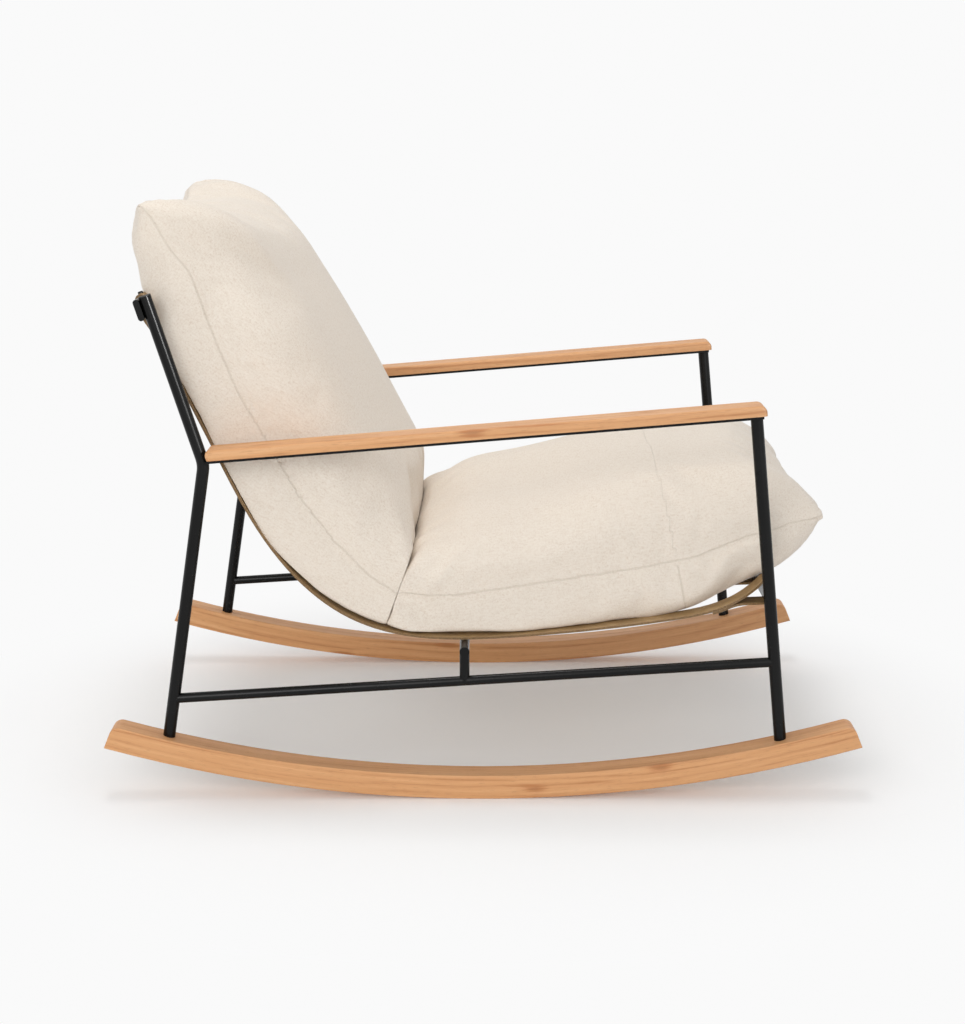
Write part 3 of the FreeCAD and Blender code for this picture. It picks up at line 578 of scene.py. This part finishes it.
outer_strap = nodes["strap_1"]
strap_surface = BVHTree.FromPolygons(
    [outer_strap.matrix_world @ corner.co for corner in outer_strap.data.vertices],
    [list(face.vertices) for face in outer_strap.data.polygons])


def above_strap(points):
    """Each point's distance from the outer strap in the side view, and the way to it."""
    away = np.zeros((len(points), 3))
    for i, point in enumerate(points):
        beside = (point[0], STRAP_Y[0], point[2])
        away[i] = np.array(strap_surface.find_nearest(beside)[0]) - beside
    length = np.hypot(away[:, 0], away[:, 2])
    return length, away / np.maximum(length, 1e-9)[:, None]


def overhang(points, seam, carried, draped):
    """Fills out the side below the seam where straps carry it, and drapes it over them."""
    moved = points.copy()
    height, way = above_strap(points)
    seam_height = height + np.abs(seam)
    low = (seam < 0) & (height < LOW_SIDE)
    outer = soft_step(np.abs(points[:, 1]), OVERHANG_FROM, OVERHANG_WHOLE)
    share = height / np.maximum(seam_height, 1e-6)
    drop = np.where(low, 0.95 * share * (1 - share ** 2) ** 2 * seam_height, 0.0)
    drop *= outer * carried
    moved[:, 1] += np.sign(points[:, 1]) * OVERHANG * outer * draped * (1 - 0.55 * share)
    strap_edge = np.abs(STRAP_Y[0]) + STRAP_HALF
    past = soft_step(np.abs(moved[:, 1]), strap_edge - 4 * MM, strap_edge + 3 * MM)
    drop += SAG_PAST_STRAP * past * (1 - soft_step(share, 0.2, 0.9)) * low * draped
    return moved + way * drop[:, None]


def close_junction(piece, side):
    """Presses a pillow's end against the other's; side is 1 for the seat, -1 for the back."""
    points = points_of(piece)
    across = np.array((JUNCTION_WAY[1], 0.0, -JUNCTION_WAY[0])) * side
    gap = (points - np.array((JUNCTION_FOOT[0], 0.0, JUNCTION_FOOT[1]))) @ across
    near = 1 - soft_step(gap, 6 * MM, 30 * MM)
    near *= 1 - soft_step(points[:, 2], JUNCTION_LOW, JUNCTION_HIGH)
    closed = np.maximum(gap - JUNCTION_FILL * near, 0.25 * MM)
    move_points(piece, points + across * ((closed - gap) * (near > 0))[:, None])


def between_straps(y):
    """0 on a strap and 1 midway between two."""
    nearest = np.min(np.abs(y[:, None] - np.array(STRAP_Y)[None, :]), axis=1)
    return soft_step(nearest, BULGE_FROM, BULGE_WHOLE) * (np.abs(y) < max(STRAP_Y))


def gather(piece, seam, run):
    """Puckers the cloth beside a seam; run is the distance along it."""
    points = points_of(piece)
    wave = np.sin(run * 2 * math.pi / GATHER_LENGTH + 1.7 * np.sin(run * 37.0))
    fade = np.exp(-((seam / GATHER_REACH) ** 2)) * soft_step(np.abs(seam), 0.0, 5.0 * MM)
    move_points(piece, points + normals_of(piece) * (GATHER * wave * fade)[:, None])


def pillow(name, node, insert, route, sculpt, rests, carried, draped, side):
    """Makes a cover from a CAD node: sculpted, inflated, made finer and set on its body."""
    piece = outer_skin(node, name)
    even_mesh(piece)
    points = points_of(piece)
    seam = off_route(points, route)
    keep(piece, "seam", seam)
    resting = soften(piece, rests(points, normals_of(piece)).astype(float), 4)
    points = overhang(points, seam, carried(points), draped(points))
    move_points(piece, sculpt(points, seam))
    inflate(piece, np.abs(seam) < SEWN_HALF, SWELL + (SLACK - SWELL) * resting)
    bulge = BULGE * resting * between_straps(points[:, 1])
    move_points(piece, points_of(piece) + normals_of(piece) * bulge[:, None])
    finer(piece)
    points = points_of(piece)
    seam = np.zeros(len(points), dtype=np.float32)
    piece.data.attributes["seam"].data.foreach_get("value", seam)
    gather(piece, seam, points[:, 0] + points[:, 2] + 0.6 * points[:, 1])
    close_junction(piece, side)
    bpy.ops.object.shade_smooth()
    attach(piece, node)
    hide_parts(node, insert)
    print(name, len(piece.data.polygons), "faces")
    return piece


# %% Back pillow
TOP_SAG = 19.0 * MM
EAR_LIFT = 4.0 * MM
BACK_CROWN_FALL = 11.0 * MM
FORWARD = np.array((0.90, 0.0, 0.43))   # the way the back's front faces
BACK_EARS = (((-0.388, 0.232, 0.742), 44 * MM, 80 * MM, 7 * MM),    # see lobe
             ((-0.385, 0.235, 0.665), 41 * MM, 75 * MM, 8 * MM))


def lobe(points, heart, full, reach, swell):
    """Rounds an ear at both sides: points near its heart move straight away from it.

    They move by swell as far as full from the heart, and by nothing past reach.
    """
    away = points - np.array(heart) * np.stack([np.ones(len(points)), np.sign(points[:, 1]),
                                                np.ones(len(points))], axis=1)
    length = np.linalg.norm(away, axis=1)
    share = 1 - soft_step(length, full, reach)
    return points + away / np.maximum(length, 1e-9)[:, None] * (swell * share)[:, None]


def back_sculpt(points, seam):
    """The top edge sags between two round ears, and the front is a little crowned."""
    width = np.abs(points[:, 1])
    sag = np.clip(1 - (width / 0.255) ** 2, 0, 1) ** 0.7
    sag *= soft_step(points[:, 2], 0.690, 0.775)
    fall = 0.4 + 0.6 * soft_step(width, 0.02, 0.16)
    fall *= soft_step(seam, 0.02, 0.09) * (1 - soft_step(points[:, 2], 0.66, 0.76))
    moved = points - FORWARD * (BACK_CROWN_FALL * fall)[:, None]
    moved[:, 2] -= TOP_SAG * sag
    lift = soft_step(width, 0.17, 0.24) * soft_step(points[:, 2], 0.70, 0.76)
    moved[:, 2] += EAR_LIFT * lift
    for ear in BACK_EARS:
        moved = lobe(moved, *ear)
    return moved


def rests_behind(points, normals):
    """The side that faces the straps, and the end that meets the other pillow."""
    down = (normals[:, 0] * -0.76 + normals[:, 2] * -0.65) > 0.55
    meets = (normals[:, 0] * 0.941 - normals[:, 2] * 0.339) > 0.6
    return (down & (points[:, 2] < 0.66)) | (meets & (points[:, 2] < 0.37))


def back_carried(points):
    """1 where the straps carry the pillow, falling to 0 above the top crossbar."""
    return 1 - soft_step(points[:, 2], 0.60, 0.72)


pillow("back_pillow", "back_cushion", "back_insert", BACK_SEAM, back_sculpt,
       rests_behind, back_carried, back_carried, -1)

# %% Seat pillow
NOSE_DRAWN_IN = 12.0 * MM
NOSE_LIFT = 5.0 * MM
NOSE_PINCH = 0.11           # of the width, at the front edge
SEAT_CROWN_FALL = 20.0 * MM
SEAT_EAR = ((0.392, 0.215, 0.352), 28 * MM, 100 * MM, 8 * MM)
FAR_FROM_SEAM = 0.05        # kept for points that have no corner seam near


def seat_sculpt(points, seam):
    """The front edge is drawn in between two round ears, and the rear is crowned."""
    width = np.abs(points[:, 1])
    front = soft_step(points[:, 0], 0.370, 0.452)
    fall = soft_step(width, 0.0, 0.14) * (1 - soft_step(points[:, 0], 0.05, 0.24))
    fall *= soft_step(seam, 0.0, 0.07)
    moved = points.copy()
    moved[:, 0] -= NOSE_DRAWN_IN * front * np.clip(1 - (width / 0.275) ** 2, 0, 1) ** 1.2
    moved[:, 1] *= 1 - NOSE_PINCH * front
    moved[:, 2] += NOSE_LIFT * front * soft_step(width, 0.150, 0.260)
    moved[:, 2] -= SEAT_CROWN_FALL * fall
    return lobe(moved, *SEAT_EAR)


def rests_below(points, normals):
    """The side that lies on the straps, and the end that meets the other pillow."""
    down = (normals[:, 2] < -0.6) & (points[:, 0] < 0.35)
    meets = (normals[:, 0] * -0.941 + normals[:, 2] * 0.339) > 0.6
    return down | (meets & (points[:, 0] < -0.05))


def seat_carried(points):
    """1 where the straps carry the pillow, falling to 0 before the front crossbar."""
    return 1 - soft_step(points[:, 0], 0.21, 0.34)


def seat_draped(points):
    """1 where the pillow hides the outermost strap, falling to 0 where that comes clear."""
    return 1 - soft_step(points[:, 0], -0.02, 0.30)


seat = pillow("seat_pillow", "seat_cushion", "seat_insert", SEAT_SEAM, seat_sculpt,
              rests_below, seat_carried, seat_draped, 1)
seat_points = points_of(seat)
corner = off_route(seat_points, SEAT_CORNER_SEAM)
on_corner = (np.abs(seat_points[:, 1]) > 0.19) & (seat_points[:, 2] < 0.300)
keep(seat, "corner_seam", np.where(on_corner, corner, np.sign(corner) * FAR_FROM_SEAM))

# %% [markdown]
# ## Linen
# The cover is a heavy off-white linen weave. Close up it is a plain weave of threads about
# a millimetre thick, each a little thicker or paler than the next, and from a step away
# these differences read as a fine fleck. The weave is laid on from three sides and
# blended by the direction the surface faces, because a pillow has no flat sheet to
# unroll. Linen is slightly fuzzy, so the shader has some sheen.

# %% Linen finish
LINEN_LIGHT = paint(240, 231, 219)
LINEN_MIDDLE = paint(234, 223, 209)
LINEN_DARK = paint(219, 203, 186)
THREAD = 1.15 * MM


def weave(u, v):
    """Height of a plain weave: threads that pass over and under one another."""
    turn = math.pi / THREAD
    return (u * turn).sine() * (v * turn).sine() * 0.5 + 0.5


def linen(name, lie, corner_seam):
    """A pillow's cover; lie is how far the pillow leans, in degrees."""
    finish = Finish(name, Sheen_Weight=0.25, Sheen_Roughness=0.5, Specular_IOR_Level=0.2)
    place = finish.point(lie)
    x, y, z = finish.split(place)
    nx, ny, nz = [side.size() ** 4.0 for side in finish.split(finish.facing(lie))]
    total = nx + ny + nz
    threads = (weave(x, y) * nz + weave(y, z) * nx + weave(x, z) * ny) / total
    slubs = finish.noise(finish.join(x * 120.0, y * 900.0, z * 420.0), 1.0, 3.0, 0.6)
    cross_slubs = finish.noise(finish.join(x * 900.0, y * 120.0, z * 420.0), 1.0, 3.0, 0.6)
    fleck = finish.noise(place, 420.0, 2.0, 0.6)
    cloud = finish.noise(place, 9.0, 3.0, 0.5)
    tone = slubs * 0.3 + cross_slubs * 0.3 + fleck * 0.3 + threads * 0.1
    colour = finish.mix(tone.step(0.34, 0.52), LINEN_DARK, LINEN_MIDDLE)
    colour = finish.mix(tone.step(0.48, 0.66), colour, LINEN_LIGHT)
    colour = finish.mix(cloud.step(0.35, 0.7) * 0.25, colour, LINEN_MIDDLE)
    away = finish.node("Attribute", {"attribute_name": "seam"}, {}, "Fac").size()
    if corner_seam:
        corner_away = finish.node("Attribute", {"attribute_name": "corner_seam"}, {}, "Fac")
        away = away.at_most(corner_away.size())
    seam_groove_and_shade = 1.0 - away.step(0.3 * MM, 1.6 * MM)
    lip = 1.0 - away.step(1.2 * MM, 6.0 * MM)
    # Painted shade: the cloth is darkened along the sewn line, where its groove lies.
    colour = finish.mix(seam_groove_and_shade * 0.22, colour, paint(190, 172, 152))
    finish.colour(colour)
    finish.roughness(0.9 - tone * 0.1)
    height = threads * 0.22 + tone * 0.5 - seam_groove_and_shade * 1.6 + lip * 0.5
    finish.bump(height, 0.5 * MM, 0.8)
    return finish


dress(linen("back_linen", -30.0, False), "back_pillow")
dress(linen("seat_linen", 8.0, True), "seat_pillow")
print("linen on both pillows, threads", THREAD / MM, "mm thick")


# %% [markdown]
# ## The studio
# The chair stands on white paper under broad soft lamps. The paper is lit by the same
# lamps as the chair, so it takes the chair's shadow. Far from the chair it fades into the
# white of the background, which only the camera and reflections see.

# %% Floor and background
BACKGROUND = 0.955
SKY = 0.52                  # what lights the chair from all round
PAPER_RADIUS = 14
PAPER_TONE = 0.90
PAPER_GLOW = 0.10           # thins the shadows, as the photograph's floor does
FADE_FROM = 0.38            # from the middle, where the paper starts to fade
FADE_TO = 0.86              # and where only the background is left


def seen(tree):
    """1 for what the camera or a mirror or glass sees, 0 for the light that falls."""
    path = tree.nodes.new("ShaderNodeLightPath")
    glossy = tree.nodes.new("ShaderNodeMath")
    glossy.operation = "MAXIMUM"
    tree.links.new(path.outputs["Is Glossy Ray"], glossy.inputs[0])
    tree.links.new(path.outputs["Is Transmission Ray"], glossy.inputs[1])
    either = tree.nodes.new("ShaderNodeMath")
    either.operation = "MAXIMUM"
    tree.links.new(path.outputs["Is Camera Ray"], either.inputs[0])
    tree.links.new(glossy.outputs[0], either.inputs[1])
    return either.outputs[0]


bpy.ops.object.select_all(action="DESELECT")
bpy.ops.mesh.primitive_circle_add(vertices=96, radius=PAPER_RADIUS, fill_type="NGON")
floor = bpy.context.object
floor.name = "studio_floor"
paper = Finish("white_paper", Roughness=0.95, Specular_IOR_Level=0.0,
               Emission_Color=(1, 1, 1, 1), Emission_Strength=PAPER_GLOW)
paper_x, paper_y = paper.split(paper.point())[:2]
far = ((paper_x * paper_x + paper_y * paper_y) ** 0.5).step(FADE_FROM, FADE_TO)
paper.colour((PAPER_TONE, PAPER_TONE, PAPER_TONE, 1))
glow = paper.tree.nodes.new("ShaderNodeEmission")
glow.inputs["Color"].default_value = (BACKGROUND, BACKGROUND, BACKGROUND, 1)
fade = paper.tree.nodes.new("ShaderNodeMixShader")
faded = far * Wire(paper, seen(paper.tree))
paper.tree.links.new(faded.socket, fade.inputs[0])
paper.tree.links.new(paper.shader.outputs[0], fade.inputs[1])
paper.tree.links.new(glow.outputs[0], fade.inputs[2])
surface = paper.tree.nodes["Material Output"].inputs["Surface"]
paper.tree.links.new(fade.outputs[0], surface)
dress(paper, "studio_floor")
print("paper fades from", FADE_FROM, "to", FADE_TO, "m")

world = bpy.data.worlds.new("studio")
bpy.context.scene.world = world
world.use_nodes = True
sky = world.node_tree
strength = sky.nodes.new("ShaderNodeMapRange")
sky.links.new(seen(sky), strength.inputs["Value"])
strength.inputs["To Min"].default_value = SKY
strength.inputs["To Max"].default_value = BACKGROUND
sky.nodes["Background"].inputs["Color"].default_value = (1, 1, 1, 1)
sky.links.new(strength.outputs[0], sky.nodes["Background"].inputs["Strength"])


# %% [markdown]
# Two broad lamps light the chair, from above and from the front. A third and small one
# shows only in what is glossy: it draws the bright streaks along the black tubes.

# %% Lamps
def soft_lamp(name, place, aim, size, power):
    """A round lamp at a place, turned to an aim; the power is in watts."""
    bpy.ops.object.light_add(type="AREA", location=place)
    lamp = bpy.context.object
    lamp.name = name
    lamp.data.shape = "DISK"
    lamp.data.size = size
    lamp.data.energy = power
    way = np.array(aim) - np.array(place)
    level = math.hypot(way[0], way[1])
    tilt = math.atan2(level, -way[2])
    lamp.rotation_euler = (tilt, 0, math.atan2(way[1], way[0]) - math.pi / 2)
    return lamp


soft_lamp("overhead_lamp", (-0.3, 0.1, 3.3), (0.0, 0.0, 0.2), 1.2, 31)
soft_lamp("front_lamp", (-1.0, -3.6, 1.7), (0.0, 0.0, 0.4), 2.0, 47)
streak_lamp = soft_lamp("streak_lamp", (2.2, -3.0, 1.6), (0.0, 0.0, 0.3), 0.5, 160)
streak_lamp.visible_diffuse = False

bpy.context.scene.view_settings.view_transform = "Standard"
